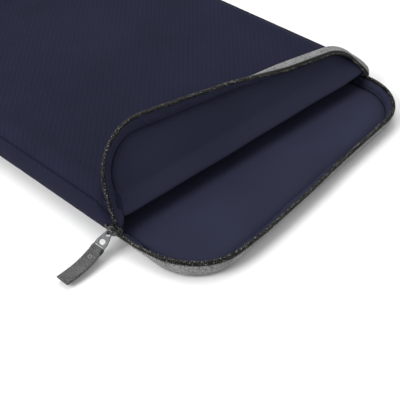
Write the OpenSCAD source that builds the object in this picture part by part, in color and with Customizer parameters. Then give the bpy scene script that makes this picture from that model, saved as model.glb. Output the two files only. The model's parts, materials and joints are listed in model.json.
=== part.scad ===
// Padded laptop sleeve, lying flat, mouth towards -Y, unzipped with its upper lip folded open.
// Origin: middle of the flat bottom face. +Z up, +Y towards the closed end. Millimetres.
// Every layer is cut from one rounded outline: outer skin, foam, lining, and the zip around the mouth.
// The upper lip (the flap) turns about a slightly slanted line through the two ends of the opening,
// at the height of the zip. It is drawn closed and then turned to its open resting angle.

/* [Sleeve] */
// Width across the side bands
sleeve_w = 296; // [250:1:340]
// Length from the closed end to the mouth
sleeve_l = 408; // [340:1:460]
// Thickness over both panels
sleeve_h = 31; // [29:0.5:36]
// Plan radius of the four corners
corner_r = 46; // [30:1:60]

/* [Layers] */
// Thickness of the outer fabric
skin_t = 1; // [0.8:0.1:1.4]
// Thickness of the foam
foam_t = 4; // [3:0.5:5]
// Thickness of the lining
lining_t = 0.8; // [0.6:0.1:1.2]

/* [Zip] */
// How far the zip runs back along each side, from the lip
zip_run = 95; // [85:1:110]
// Height of each row of coils
coil_h = 1.4; // [1:0.1:1.8]
// Depth of a coil through the tape, towards the inside
coil_in = 2.2; // [1.8:0.1:2.6]
// How far a coil stands proud of the tape
coil_out = 0.8; // [0.4:0.1:1]
// Gap between the two rows of coils when the lip is shut
zip_gap = 1.6; // [1.4:0.1:2]
// Bare tape between the coils and the padded lip
tape_bare = 4.4; // [3.5:0.1:5]

/* [Flap] */
// Depth of the flap from the lip to the fold, at the left side
fold_left = 79; // [70:1:84]
// Depth of the flap from the lip to the fold, at the right side
fold_right = 42; // [38:1:60]
// Opening angle at rest
flap_open = 122; // [90:1:125]
// How much further the flap can be pushed back
flap_spare = 4; // [2:1:8]
// Clear space along each cut face of the fold
fold_clear = 0.25; // [0.2:0.05:0.4]

/* [Slider] */
// Length of the slider's outer plate
slider_l = 12; // [10:0.5:13]
// Width of the slider's outer plate
slider_w = 8.6; // [7:0.2:9]
// Metal thickness of the slider's plates
slider_t = 1.1; // [0.9:0.1:1.2]
// Clearance between the slider's outer plate and the coils
slider_clear = 0.3; // [0.25:0.05:0.4]
// Clearance between the slider's inner plate and the coils
inner_clear = 1.3; // [0.8:0.1:1.5]
// Angle at which the slider stands across the open zip
slider_tilt = 40; // [0:1:42]
// Length of the inner plate
inner_l = 7; // [6:0.5:7]
// Width of the inner plate
inner_w = 6; // [5:0.5:6]

/* [Pull] */
// Length of the metal pull plate beyond the bridge's bar
plate_l = 15; // [14:0.5:18]
// Width of the pull plate at its eye
eye_w = 6.4; // [6.2:0.1:6.5]
// Width of the pull plate at its slot
plate_w = 11; // [10.6:0.2:12]
// Thickness of the pull plate
plate_t = 1; // [0.9:0.1:1.1]
// Radius of the eye that hooks on the slider's bridge
eye_r = 2.3; // [2.2:0.05:2.4]
// Angle at which the plate droops from level
plate_droop = 28; // [25:1:32]
// Width of the webbing tab
tab_w = 11; // [10:0.5:12]
// Length of the folded webbing tab
tab_l = 37; // [30:1:42]
// Thickness of one layer of webbing
web_t = 1.1; // [0.9:0.1:1.3]
// Angle at which the tab droops from level
tab_droop = 7.5; // [5:0.5:9]

/* [Hidden] */

$fn = 96;
eps = 0.01;
far = 600;
half_w = sleeve_w / 2;
half_l = sleeve_l / 2;
wall_t = skin_t + foam_t + lining_t;

// levels of the layers, bottom and top
z_foam_lo = skin_t;
z_lining_lo = skin_t + foam_t;
z_pocket_lo = wall_t;
z_pocket_hi = sleeve_h - wall_t;
z_lining_hi = sleeve_h - skin_t - foam_t;
z_foam_hi = sleeve_h - skin_t;

// levels of the zip, the same below and above its middle
zip_z = sleeve_h / 2;
coil_z0 = zip_gap / 2;
coil_z1 = coil_z0 + coil_h;
lip_top = coil_z1 + tape_bare - 1.2;
zip_y = -half_l + zip_run;

// the fold line
fold_y = -half_l + fold_left;
fold_skew = atan((fold_left - fold_right) / sleeve_w);
fold_half = (flap_open + flap_spare) / 2;
fold_at = [-half_w, fold_y, zip_z];
fold_axis = [cos(fold_skew), -sin(fold_skew), 0];

// the slider and its pull, measured from the zip line at the left side
slider_y = fold_y + 7;
out_x = coil_out + slider_clear;
in_x = coil_in + inner_clear;
bar_t = 1;
bar_w = 1;
bridge_gap = 2.9;
bridge_l = 9;
slot_l = 1.75;
slot_bar = 2.1;
hole_r = 2.2;
hole_s = 7.4;
plate_at = [-half_w - out_x - slider_t - bridge_gap - bar_t / 2, slider_y, zip_z];
slot_s = plate_l - slot_bar - slot_l / 2;

navy = [0.17, 0.18, 0.25];
lining_navy = [0.12, 0.13, 0.2];
foam_grey = [0.35, 0.36, 0.4];
melange = [0.5, 0.51, 0.52];
coil_black = [0.1, 0.1, 0.09];
gunmetal = [0.25, 0.26, 0.27];
webbing = [0.42, 0.43, 0.43];

// Rounded outline of the sleeve, drawn in by inset
module outline(inset) {
    w = sleeve_w - 2 * inset;
    l = sleeve_l - 2 * inset;
    r = corner_r - inset;
    square([w - 2 * r, l], center = true);
    square([w, l - 2 * r], center = true);
    for (x = [-1, 1], y = [-1, 1])
        translate([x * (w / 2 - r), y * (l / 2 - r)]) circle(r);
}

// Flat layer between two heights
module slab(inset, z0, z1) {
    translate([0, 0, z0]) linear_extrude(z1 - z0) outline(inset);
}

// Upright wall that follows the outline, from inset a to inset b
module band(a, b, z0, z1) {
    translate([0, 0, z0]) linear_extrude(z1 - z0)
        difference() {
            outline(a);
            outline(b);
        }
}

// Everything behind the ends of the zip
module behind_zip() {
    translate([-far / 2, zip_y, -1]) cube([far, far, sleeve_h + 2]);
}

// Everything in front of the ends of the zip
module before_zip() {
    translate([-far / 2, zip_y - far, -1]) cube([far, far, sleeve_h + 2]);
}

// A prism along the fold line, from points (distance behind the fold, height above it)
module along_fold(points) {
    translate(fold_at) rotate([0, 0, -fold_skew]) translate([-far / 2, 0, 0])
        rotate([90, 0, 90]) linear_extrude(far) polygon(points);
}

// The upper half in front of the fold: what turns with the flap
module flap_zone() {
    spread = tan(fold_half);
    top = sleeve_h;
    along_fold([[-fold_clear, 0], [-fold_clear - top * spread, top], [-far, top], [-far, 0]]);
}

// The upper half behind the fold: what stays with the sleeve
module rear_zone() {
    spread = tan(fold_half);
    top = sleeve_h;
    along_fold([[fold_clear, 0], [fold_clear + top * spread, top], [far, top], [far, 0]]);
}

// Everything below the zip, and the upper half behind the fold
module still_zone() {
    spread = tan(fold_half);
    top = sleeve_h;
    along_fold([[-far, -far], [-far, 0], [fold_clear, 0],
                [fold_clear + top * spread, top], [far, top], [far, -far]]);
}

// Turns a piece drawn shut to the flap's open resting angle
module opened() {
    translate(fold_at) rotate(a = -flap_open, v = fold_axis) translate(-fold_at) children();
}

// The four layers of the upper half of the lip, drawn shut all the way round
module upper_tape() {
    band(0, skin_t, zip_z + coil_z1, z_foam_hi);
}

module upper_coil() {
    band(-coil_out, coil_in, zip_z + coil_z0, zip_z + coil_z1);
}

module upper_lip_pad() {
    band(skin_t, skin_t + foam_t, zip_z + lip_top, z_lining_hi);
}

module upper_lip_cover() {
    band(skin_t, wall_t, zip_z + lip_top - lining_t, zip_z + lip_top);
    band(skin_t + foam_t, wall_t, zip_z + lip_top - eps, z_pocket_hi);
}

// ---- the sleeve's body ----

module lower_outer_panel() {
    color(navy) slab(0, 0, z_foam_lo);
}

module lower_foam() {
    color(foam_grey) slab(skin_t, z_foam_lo, z_lining_lo);
}

module lower_lining() {
    color(lining_navy) slab(skin_t + foam_t, z_lining_lo, z_pocket_lo);
}

module side_band_skin() {
    color(navy) intersection() {
        band(0, skin_t, z_foam_lo, z_foam_hi);
        behind_zip();
        still_zone();
    }
}

module side_band_foam() {
    color(foam_grey) intersection() {
        band(skin_t, skin_t + foam_t, z_lining_lo, z_lining_hi);
        behind_zip();
        still_zone();
    }
}

module side_band_lining() {
    color(lining_navy) intersection() {
        band(skin_t + foam_t, wall_t, z_pocket_lo, z_pocket_hi);
        behind_zip();
        still_zone();
    }
}

module upper_outer_panel() {
    color(navy) intersection() {
        slab(0, z_foam_hi, sleeve_h);
        rear_zone();
    }
}

module upper_foam() {
    color(foam_grey) intersection() {
        slab(skin_t, z_lining_hi, z_foam_hi);
        rear_zone();
    }
}

module upper_lining() {
    color(lining_navy) intersection() {
        slab(skin_t + foam_t, z_pocket_hi, z_lining_hi);
        rear_zone();
    }
}

// ---- the lower lip ----

module lower_zip_tape() {
    color(melange) intersection() {
        band(0, skin_t, z_foam_lo, zip_z - coil_z1);
        before_zip();
    }
}

module lower_zip_coil() {
    color(coil_black) intersection() {
        band(-coil_out, coil_in, zip_z - coil_z1, zip_z - coil_z0);
        before_zip();
    }
}

module lower_lip_foam() {
    color(foam_grey) intersection() {
        band(skin_t, skin_t + foam_t, z_lining_lo, zip_z - lip_top);
        before_zip();
    }
}

module lower_lip_lining() {
    color(lining_navy) intersection() {
        union() {
            band(skin_t, wall_t, zip_z - lip_top, zip_z - lip_top + lining_t);
            band(skin_t + foam_t, wall_t, z_pocket_lo, zip_z - lip_top + eps);
        }
        before_zip();
    }
}

// ---- the ends of the upper lip that stay with the sleeve ----

module rear_end() {
    intersection() {
        children();
        before_zip();
        rear_zone();
    }
}

module upper_tape_ends() {
    color(melange) rear_end() upper_tape();
}

module upper_coil_ends() {
    color(coil_black) rear_end() upper_coil();
}

module upper_lip_foam_ends() {
    color(foam_grey) rear_end() upper_lip_pad();
}

module upper_lip_lining_ends() {
    color(lining_navy) rear_end() upper_lip_cover();
}

// A metal staple across both rows of coils at each end of the zip
module zip_end_stops() {
    stop_y = 2;
    stop_in = 0.9;
    for (side = [-1, 1])
        color(gunmetal) translate([side * (half_w + coil_out + stop_in / 2), zip_y - stop_y, zip_z])
            cube([stop_in, stop_y, 2 * coil_z1], center = true);
}

// ---- the fabric that doubles up in the fold ----

// A sheet on the middle plane of the fold, from radius r0 to r1 of the fold line
module fold_sheet(r0, r1, t, side_in) {
    pitch = 90 - flap_open / 2;
    intersection() {
        translate(fold_at) rotate([0, 0, -fold_skew]) rotate([pitch, 0, 0])
            translate([-far / 2, r0, -t / 2]) cube([far, r1 - r0, t]);
        slab(side_in, 0, sleeve_h);
    }
}

module fold_outer() {
    color(navy) fold_sheet(23.5, 31, 0.9, skin_t + 0.3);
}

module fold_lining() {
    color(lining_navy) fold_sheet(11, 19.5, 0.6, wall_t + 0.3);
}

// ---- the flap ----

// The part of a shut layer that belongs to the flap, at its resting angle
module on_flap() {
    opened() intersection() {
        children();
        flap_zone();
    }
}

module flap_outer_panel() {
    color(navy) on_flap() slab(0, z_foam_hi, sleeve_h);
}

module flap_foam() {
    color(foam_grey) on_flap() slab(skin_t, z_lining_hi, z_foam_hi);
}

module flap_lining() {
    color(lining_navy) on_flap() slab(skin_t + foam_t, z_pocket_hi, z_lining_hi);
}

module flap_zip_tape() {
    color(melange) on_flap() upper_tape();
}

module flap_zip_coil() {
    color(coil_black) on_flap() upper_coil();
}

module flap_lip_foam() {
    color(foam_grey) on_flap() upper_lip_pad();
}

module flap_lip_lining() {
    color(lining_navy) on_flap() upper_lip_cover();
}

// ---- the slider and its pull ----

// The slider's own place: x out of the side band is negative, y along the zip, z across it
module at_slider() {
    translate([-half_w, slider_y, zip_z]) rotate([-slider_tilt, 0, 0]) children();
}

// A flat plate with two round ends, lying in the side band's plane
module zip_plate(x0, t, l, w) {
    translate([x0, 0, 0]) rotate([90, 0, 90]) linear_extrude(t) {
        square([l - w, w], center = true);
        for (end = [-1, 1]) translate([end * (l - w) / 2, 0]) circle(d = w);
    }
}

module slider_outer_plate() {
    color(gunmetal) at_slider() zip_plate(-out_x - slider_t, slider_t, slider_l, slider_w);
}

module slider_inner_plate() {
    color(gunmetal) at_slider() zip_plate(in_x, 1, inner_l, inner_w);
}

// The post between the two plates, which parts the coils
module slider_post() {
    post_d = 1;
    color(gunmetal) at_slider() translate([-out_x, 0, 0]) rotate([0, 90, 0])
        cylinder(d = post_d, h = out_x + in_x);
}

// The loop on the outer plate that carries the pull
module slider_bridge() {
    leg = 1.2;
    color(gunmetal) at_slider() translate([-out_x - slider_t, 0, 0]) {
        translate([-bridge_gap - bar_t, -bridge_l / 2, -bar_w / 2]) cube([bar_t, bridge_l, bar_w]);
        for (end = [-1, 1])
            translate([-bridge_gap - eps, end * (bridge_l - leg) / 2 - leg / 2, -bar_w / 2])
                cube([bridge_gap + eps, leg, bar_w]);
    }
}

// The pull plate's own place: x along the plate from the bridge's bar, y across it
module at_plate() {
    translate(plate_at) rotate([0, -plate_droop, 0]) mirror([1, 0, 0]) children();
}

module plate_outline() {
    end_r = 1.5;
    circle(d = eye_w);
    polygon([[0, -eye_w / 2], [hole_s, -plate_w / 2],
             [plate_l - end_r, -plate_w / 2], [plate_l, -plate_w / 2 + end_r],
             [plate_l, plate_w / 2 - end_r], [plate_l - end_r, plate_w / 2],
             [hole_s, plate_w / 2], [0, eye_w / 2]]);
}

module pull_plate() {
    slot_w = plate_w - 2;
    spread = 0.6;
    color(webbing) at_plate() translate([0, 0, -plate_t / 2]) linear_extrude(plate_t)
        difference() {
            plate_outline();
            circle(eye_r);
            translate([hole_s, 0]) square([2 * hole_r, 2 * spread], center = true);
            for (end = [-1, 1]) translate([hole_s, end * spread]) circle(hole_r);
            translate([slot_s, 0]) square([slot_l, slot_w], center = true);
        }
}

// The slot's outer bar, where the webbing loops through: place of the tab
tab_at = plate_at + [-cos(plate_droop) * (plate_l - slot_bar / 2), 0,
                     -sin(plate_droop) * (plate_l - slot_bar / 2)];

// A strip of webbing folded in half round the slot's bar and sewn to itself
module pull_tab() {
    loop_in = 1.5;
    loop_out = loop_in + web_t;
    web_w = min(tab_w, plate_w - 2.6);
    neck = 6;
    color(webbing) translate(tab_at) rotate([0, -tab_droop, 0]) mirror([1, 0, 0]) rotate([90, 0, 0]) {
        translate([0, 0, -web_w / 2]) linear_extrude(web_w) difference() {
            union() {
                circle(loop_out);
                polygon([[0, -loop_out], [neck, -web_t], [neck, web_t], [0, loop_out]]);
            }
            circle(loop_in);
        }
        translate([0, 0, -tab_w / 2]) linear_extrude(tab_w)
            translate([neck - eps, -web_t]) square([tab_l - neck, 2 * web_t]);
    }
}

// The round spot of stitches that holds the folded webbing together
module pull_tab_tack() {
    tack_s = 9;
    tack_r = 1.6;
    tack_t = 0.4;
    color(melange) translate(tab_at) rotate([0, -tab_droop, 0]) mirror([1, 0, 0])
        translate([tack_s, 0, web_t]) cylinder(r = tack_r, h = tack_t);
}

lower_outer_panel();
lower_foam();
lower_lining();
side_band_skin();
side_band_foam();
side_band_lining();
upper_outer_panel();
upper_foam();
upper_lining();
lower_zip_tape();
lower_zip_coil();
lower_lip_foam();
lower_lip_lining();
upper_tape_ends();
upper_coil_ends();
upper_lip_foam_ends();
upper_lip_lining_ends();
zip_end_stops();
fold_outer();
fold_lining();
flap_outer_panel();
flap_foam();
flap_lining();
flap_zip_tape();
flap_zip_coil();
flap_lip_foam();
flap_lip_lining();
slider_outer_plate();
slider_inner_plate();
slider_post();
slider_bridge();
pull_plate();
pull_tab();
pull_tab_tack();
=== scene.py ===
"""Looks of a padded laptop sleeve, lying flat with its zip open and its upper lip folded back.

Lengths are metres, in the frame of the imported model.
"""

from __future__ import annotations

import json
import logging
import math
from dataclasses import dataclass
from enum import Enum

import bmesh
import bpy
import numpy as np
from mathutils import Matrix, Vector

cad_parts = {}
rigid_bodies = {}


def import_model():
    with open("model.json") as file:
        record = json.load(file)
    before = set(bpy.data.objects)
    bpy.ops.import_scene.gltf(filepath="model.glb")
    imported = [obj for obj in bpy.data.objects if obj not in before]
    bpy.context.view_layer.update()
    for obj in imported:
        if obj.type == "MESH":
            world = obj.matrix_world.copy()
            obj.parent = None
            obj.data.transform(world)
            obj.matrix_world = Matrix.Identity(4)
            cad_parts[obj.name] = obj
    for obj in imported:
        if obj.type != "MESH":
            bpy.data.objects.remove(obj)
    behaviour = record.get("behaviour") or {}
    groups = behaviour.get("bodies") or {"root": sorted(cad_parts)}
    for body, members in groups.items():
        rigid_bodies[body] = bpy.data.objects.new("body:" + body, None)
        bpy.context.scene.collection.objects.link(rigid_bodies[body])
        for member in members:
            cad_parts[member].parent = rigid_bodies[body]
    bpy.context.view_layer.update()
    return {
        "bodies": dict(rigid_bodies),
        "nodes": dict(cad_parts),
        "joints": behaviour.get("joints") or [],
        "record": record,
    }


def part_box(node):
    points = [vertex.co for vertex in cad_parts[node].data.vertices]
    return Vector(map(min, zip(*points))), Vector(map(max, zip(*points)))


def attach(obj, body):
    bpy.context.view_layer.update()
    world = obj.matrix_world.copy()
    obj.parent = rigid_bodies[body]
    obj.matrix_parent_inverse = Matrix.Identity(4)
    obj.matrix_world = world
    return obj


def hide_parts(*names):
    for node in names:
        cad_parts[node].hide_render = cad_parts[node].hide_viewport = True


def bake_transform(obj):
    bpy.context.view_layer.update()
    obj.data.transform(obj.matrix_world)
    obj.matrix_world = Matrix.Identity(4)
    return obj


LOG = logging.getLogger("sleeve")
MM = 0.001
CORNER = 46.0 * MM
FOLD_BAND = 4.0 * MM


class Half(Enum):
    """Which half of the sleeve a layer belongs to."""

    LOWER = -1
    UPPER = 1


class Body(Enum):
    """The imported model's bodies."""

    ROOT = "root"
    FLAP = "flap"
    SLIDER = "slider"
    PLATE = "pull_plate"
    TAB = "pull_tab"


# ---------------------------------------------------------------- shader maths


class Value:
    """A number that changes over a surface: a socket whose arithmetic adds Math nodes."""

    def __init__(self, shader: "Shader", socket: bpy.types.NodeSocket) -> None:
        """Wraps a socket of a shader's node tree."""
        self.shader = shader
        self.socket = socket

    def _math(self, operation: str, *others: "Value | float") -> "Value":
        """One Math node on this value and the others."""
        return self.shader.math(operation, self, *others)

    def __add__(self, other: "Value | float") -> "Value":
        """Sum."""
        return self._math("ADD", other)

    __radd__ = __add__

    def __mul__(self, other: "Value | float") -> "Value":
        """Product."""
        return self._math("MULTIPLY", other)

    __rmul__ = __mul__

    def __sub__(self, other: "Value | float") -> "Value":
        """Difference."""
        return self._math("SUBTRACT", other)

    def __rsub__(self, other: float) -> "Value":
        """A number minus this value."""
        return self.shader.math("SUBTRACT", other, self)

    def sine(self) -> "Value":
        """Sine of the value, in radians."""
        return self._math("SINE")

    def size(self) -> "Value":
        """The value without its sign."""
        return self._math("ABSOLUTE")


class Shader:
    """A material's node tree, with one method that adds any node."""

    def __init__(self, name: str) -> None:
        """Makes an empty material with a Principled surface.

        Args:
            name: the finish's name, which the material's name starts with look_ before.
        """
        self.material = bpy.data.materials.new(f"look_{name}")
        self.material.use_nodes = True
        self.tree = self.material.node_tree
        self.tree.nodes.clear()
        self.surface = self.node("ShaderNodeBsdfPrincipled")
        output = self.node("ShaderNodeOutputMaterial")
        self.tree.links.new(self.surface.outputs["BSDF"], output.inputs["Surface"])

    def node(
        self, kind: str, settings: dict | None = None, inputs: dict | None = None
    ) -> bpy.types.Node:
        """Adds one node.

        Args:
            kind: the node's type.
            settings: its own settings, set first. The key "stops" sets a ramp's colours.
            inputs: values or links of its sockets, by name or index.

        Returns:
            The node.
        """
        made = self.tree.nodes.new(kind)
        for key, value in (settings or {}).items():
            if key == "stops":
                ramp = made.color_ramp
                while len(ramp.elements) < len(value):
                    ramp.elements.new(0.5)
                for element, (place, colour) in zip(ramp.elements, value):
                    element.position = place
                    element.color = (*colour, 1.0)
            else:
                setattr(made, key, value)
        for key, value in (inputs or {}).items():
            self.feed(made.inputs[key], value)
        return made

    def feed(self, socket: bpy.types.NodeSocket, value: object) -> None:
        """Links a value or socket, or sets a plain number, on a socket.

        Args:
            socket: the input that is fed.
            value: what it is fed with.
        """
        if isinstance(value, Value):
            self.tree.links.new(value.socket, socket)
        elif isinstance(value, bpy.types.NodeSocket):
            self.tree.links.new(value, socket)
        else:
            socket.default_value = value

    def math(self, operation: str, *terms: "Value | float") -> Value:
        """Adds a Math node.

        Args:
            operation: the node's operation.
            terms: one to three values or numbers.

        Returns:
            The node's result.
        """
        inputs = dict(enumerate(terms))
        made = self.node("ShaderNodeMath", {"operation": operation}, inputs)
        return Value(self, made.outputs[0])

    def uv(self, scale: tuple[float, float] = (1.0, 1.0)) -> bpy.types.NodeSocket:
        """The piece's own flat coordinates, in metres.

        Args:
            scale: what each coordinate is multiplied by.

        Returns:
            The socket of the scaled coordinates.
        """
        place = self.node("ShaderNodeUVMap", {"uv_map": "flat"})
        scaled = self.node(
            "ShaderNodeMapping",
            {"vector_type": "POINT"},
            {"Vector": place.outputs["UV"], "Scale": (scale[0], scale[1], 1.0)},
        )
        return scaled.outputs["Vector"]

    def space(self) -> bpy.types.NodeSocket:
        """Object coordinates, in metres."""
        return self.node("ShaderNodeTexCoord").outputs["Object"]

    def split(self, vector: bpy.types.NodeSocket) -> tuple[Value, Value]:
        """The first two parts of a vector."""
        parts = self.node("ShaderNodeSeparateXYZ", None, {"Vector": vector})
        return Value(self, parts.outputs["X"]), Value(self, parts.outputs["Y"])

    def noise(
        self,
        vector: bpy.types.NodeSocket,
        scale: float,
        detail: float = 2.0,
        roughness: float = 0.5,
    ) -> Value:
        """Soft noise over a vector.

        Args:
            vector: the coordinates.
            scale: how many features there are in one unit.
            detail: how many finer layers are added.
            roughness: how strong the finer layers are.

        Returns:
            A value from 0 to 1.
        """
        made = self.node(
            "ShaderNodeTexNoise",
            {"noise_dimensions": "3D"},
            {"Vector": vector, "Scale": scale, "Detail": detail, "Roughness": roughness},
        )
        return Value(self, made.outputs["Fac"])

    def ramp(self, value: Value, stops: list) -> bpy.types.NodeSocket:
        """A colour from a number, by stops of (place, colour)."""
        made = self.node("ShaderNodeValToRGB", {"stops": stops}, {"Fac": value})
        return made.outputs["Color"]

    def blended(self, how: str, a: bpy.types.NodeSocket, b: bpy.types.NodeSocket) -> bpy.types.NodeSocket:
        """Combines two colours by a Mix node.

        Args:
            how: the node's blend type.
            a: the first colour.
            b: the second colour.

        Returns:
            The socket of the combined colour.
        """
        settings = {"data_type": "RGBA", "blend_type": how}
        made = self.node("ShaderNodeMix", settings, {0: 1.0, 6: a, 7: b})
        return made.outputs[2]

    def dress(self, **sockets: object) -> None:
        """Sets the Principled surface's sockets, by name with _ for a space."""
        for key, value in sockets.items():
            self.feed(self.surface.inputs[key.replace("_", " ")], value)

    def bump(self, height: Value, strength: float, distance: float) -> None:
        """Feeds a height to the surface's normal.

        Args:
            height: the height, in units of distance.
            strength: how much of the bump is used.
            distance: how far a height of 1 stands out, in metres.
        """
        made = self.node(
            "ShaderNodeBump", None, {"Height": height, "Strength": strength, "Distance": distance}
        )
        self.feed(self.surface.inputs["Normal"], made.outputs["Normal"])


# ---------------------------------------------------------------- finishes

Colour = tuple[float, float, float]


def mixed(a: Colour, b: Colour, t: float) -> Colour:
    """The colour a part t of the way from a to b."""
    return tuple(x + (y - x) * t for x, y in zip(a, b))


@dataclass(frozen=True)
class Weave:
    """Woven or knitted cloth: crossed threads in the piece's own flat coordinates."""

    name: str
    colour: Colour
    light: Colour
    pitch: float
    depth: float
    roughness: float
    sheen: float
    slub: float = 0.35
    twill: float = 0.0
    gloss: float = 0.1

    def make(self) -> bpy.types.Material:
        """Builds the material: threads are two crossed sines, with slow changes of tone.

        A twill's slanted lines are a sine of a sum of both coordinates, three threads wide.

        Returns:
            The material.
        """
        s = Shader(self.name)
        u, v = s.split(s.uv((2 * math.pi / self.pitch, 2 * math.pi / self.pitch)))
        over = (u.sine() * v.sine()) * 0.5 + 0.5
        lines = (u * 2.0).sine().size() * 0.35 + (v * 2.0).sine().size() * 0.65
        tone = s.noise(s.space(), 14.0, 3.0) * 0.5 + s.noise(s.space(), 900.0, 1.0) * self.slub
        slant = (u * 0.22 - v * 0.25).sine() * self.twill
        shade = over * 0.35 + lines * 0.15 + tone * 0.6 + slant
        stops = [(0.2, self.colour), (0.55, mixed(self.colour, self.light, 0.45)), (0.95, self.light)]
        s.dress(
            Base_Color=s.ramp(shade, stops),
            Roughness=s.noise(s.space(), 300.0) * 0.12 + (self.roughness - 0.06),
            Sheen_Weight=self.sheen,
            Sheen_Roughness=0.5,
            Specular_IOR_Level=self.gloss,
        )
        s.bump(over + lines * 0.5 + slant * 3.0 + s.noise(s.space(), 60.0) * 0.8, 0.5, self.depth)
        return s.material


@dataclass(frozen=True)
class Melange:
    """Grey tape or webbing spun from light and dark fibres."""

    name: str
    dark: Colour
    light: Colour
    rib: float
    depth: float
    fleck: float
    edge: float | None = None

    def make(self) -> bpy.types.Material:
        """Builds the material: flecks drawn out along the tape, over ribs across it.

        Past the distance edge across the tape the cloth is black, where the coil is sewn to it.

        Returns:
            The material.
        """
        s = Shader(self.name)
        along, across = s.split(s.uv((2 * math.pi / self.rib, 1.0)))
        ribs = along.sine() * 0.5 + 0.5
        flecks = s.noise(s.uv((self.fleck * 0.45, self.fleck)), 1.0, 2.0, 0.7)
        clouds = s.noise(s.uv((60.0, 90.0)), 1.0, 2.0)
        shade = flecks * 0.75 + clouds * 0.25 + ribs * 0.08
        stops = [(0.36, self.dark), (0.5, mixed(self.dark, self.light, 0.5)), (0.66, self.light)]
        colour = s.ramp(shade, stops)
        if self.edge is not None:
            past = (across + (flecks * 0.4 * MM - self.edge)) * 1500.0
            sewn = s.ramp(past, [(0.0, (1, 1, 1)), (1.0, (0.03, 0.03, 0.03))])
            colour = s.blended("MULTIPLY", colour, sewn)
        s.dress(
            Base_Color=colour,
            Roughness=flecks * 0.15 + 0.75,
            Sheen_Weight=0.1,
            Specular_IOR_Level=0.15,
        )
        s.bump(ribs * 0.7 + flecks, 0.7, self.depth)
        return s.material


@dataclass(frozen=True)
class Metal:
    """Plated metal with a little wear."""

    name: str
    colour: Colour
    worn: Colour
    roughness: float
    metallic: float = 0.9

    def make(self) -> bpy.types.Material:
        """Builds the material: cloudy roughness, and fine scratches that show the brighter metal.

        Returns:
            The material.
        """
        s = Shader(self.name)
        marks = s.noise(s.space(), 2500.0, 4.0, 0.7)
        clouds = s.noise(s.space(), 350.0, 2.0)
        s.dress(
            Base_Color=s.ramp(marks * 0.6 + clouds * 0.4, [(0.35, self.colour), (0.75, self.worn)]),
            Metallic=self.metallic,
            Roughness=clouds * 0.25 + (self.roughness - 0.1),
        )
        s.bump(marks, 0.12, 0.05 * MM)
        return s.material


@dataclass(frozen=True)
class CoilNylon:
    """Nylon coil, flecked with painted glints: light specks that partly stand for the sewing thread between
    its turns.
    """

    name: str
    colour: Colour
    # thread: colour of the light flecks, a painted glint that partly stands for the sewing thread
    thread: Colour

    def make(self) -> bpy.types.Material:
        """Builds the material: dark plastic flecked with painted glints, which partly stand for the sewing
        thread.

        Returns:
            The material.
        """
        s = Shader(self.name)
        flecks = s.noise(s.space(), 950.0, 2.0, 0.6)
        s.dress(
            # the light flecks are painted glints on the dark plastic, partly the sewing thread
            Base_Color=s.ramp(flecks, [(0.57, self.colour), (0.64, self.thread)]),
            Roughness=flecks * 0.3 + 0.25,
            Specular_IOR_Level=0.25,
        )
        s.bump(s.noise(s.space(), 1800.0), 0.2, 0.05 * MM)
        return s.material


class Finishes:
    """The finish of every kind of piece, made once."""

    def __init__(self) -> None:
        """Makes each material."""
        self.outer = Weave(
            name="outer_navy",
            colour=(0.0073, 0.0082, 0.0165),
            light=(0.025, 0.0275, 0.055),
            pitch=1.4 * MM,
            depth=0.12 * MM,
            roughness=0.8,
            sheen=0.01,
            twill=0.04,
            gloss=0.03,
        ).make()
        self.lining = Weave(
            name="lining_navy",
            colour=(0.0148, 0.0163, 0.031),
            light=(0.0395, 0.0435, 0.083),
            pitch=0.6 * MM,
            depth=0.05 * MM,
            roughness=0.65,
            sheen=0.01,
            slub=0.15,
            gloss=0.05,
        ).make()
        self.foam = Weave(
            name="foam",
            colour=(0.1, 0.1, 0.115),
            light=(0.17, 0.17, 0.19),
            pitch=1.1 * MM,
            depth=0.1 * MM,
            roughness=0.9,
            sheen=0.0,
        ).make()
        self.tape = Melange(
            name="tape_grey",
            dark=(0.024, 0.024, 0.024),
            light=(0.31, 0.31, 0.315),
            rib=1.1 * MM,
            depth=0.15 * MM,
            fleck=900.0,
            edge=9.0 * MM,
        ).make()
        self.webbing = Melange(
            name="webbing_grey",
            dark=(0.02, 0.0202, 0.0205),
            light=(0.125, 0.126, 0.127),
            rib=1.9 * MM,
            depth=0.15 * MM,
            fleck=1200.0,
        ).make()
        # the coil's thread colour is a painted glint, partly the sewing thread
        self.coil = CoilNylon(
            name="coil_black", colour=(0.003, 0.003, 0.003), thread=(0.27, 0.27, 0.24)
        ).make()
        self.gunmetal = Metal(
            name="gunmetal", colour=(0.012, 0.0125, 0.014), worn=(0.1, 0.1, 0.105), roughness=0.3
        ).make()
        self.plate = Metal(
            name="pull_metal",
            colour=(0.08, 0.081, 0.084),
            worn=(0.17, 0.172, 0.175),
            roughness=0.42,
            metallic=0.75,
        ).make()
        self.thread_navy = Weave(
            name="thread_navy",
            colour=(0.01, 0.011, 0.02),
            light=(0.03, 0.032, 0.05),
            pitch=0.5 * MM,
            depth=0.05 * MM,
            roughness=0.6,
            sheen=0.0,
        ).make()
        self.thread = Melange(
            name="thread_grey",
            dark=(0.12, 0.12, 0.12),
            light=(0.3, 0.3, 0.3),
            rib=0.5 * MM,
            depth=0.05 * MM,
            fleck=3000.0,
        ).make()


# ---------------------------------------------------------------- meshes from surfaces


def smooth(t: np.ndarray) -> np.ndarray:
    """The curve 3t^2 - 2t^3 on t held between 0 and 1."""
    t = np.clip(t, 0.0, 1.0)
    return t * t * (3 - 2 * t)


def spaced(start: float, stop: float, step: float) -> np.ndarray:
    """Even steps of about the length step, with both ends."""
    return np.linspace(start, stop, max(2, int(round(abs(stop - start) / step)) + 1))


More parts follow.
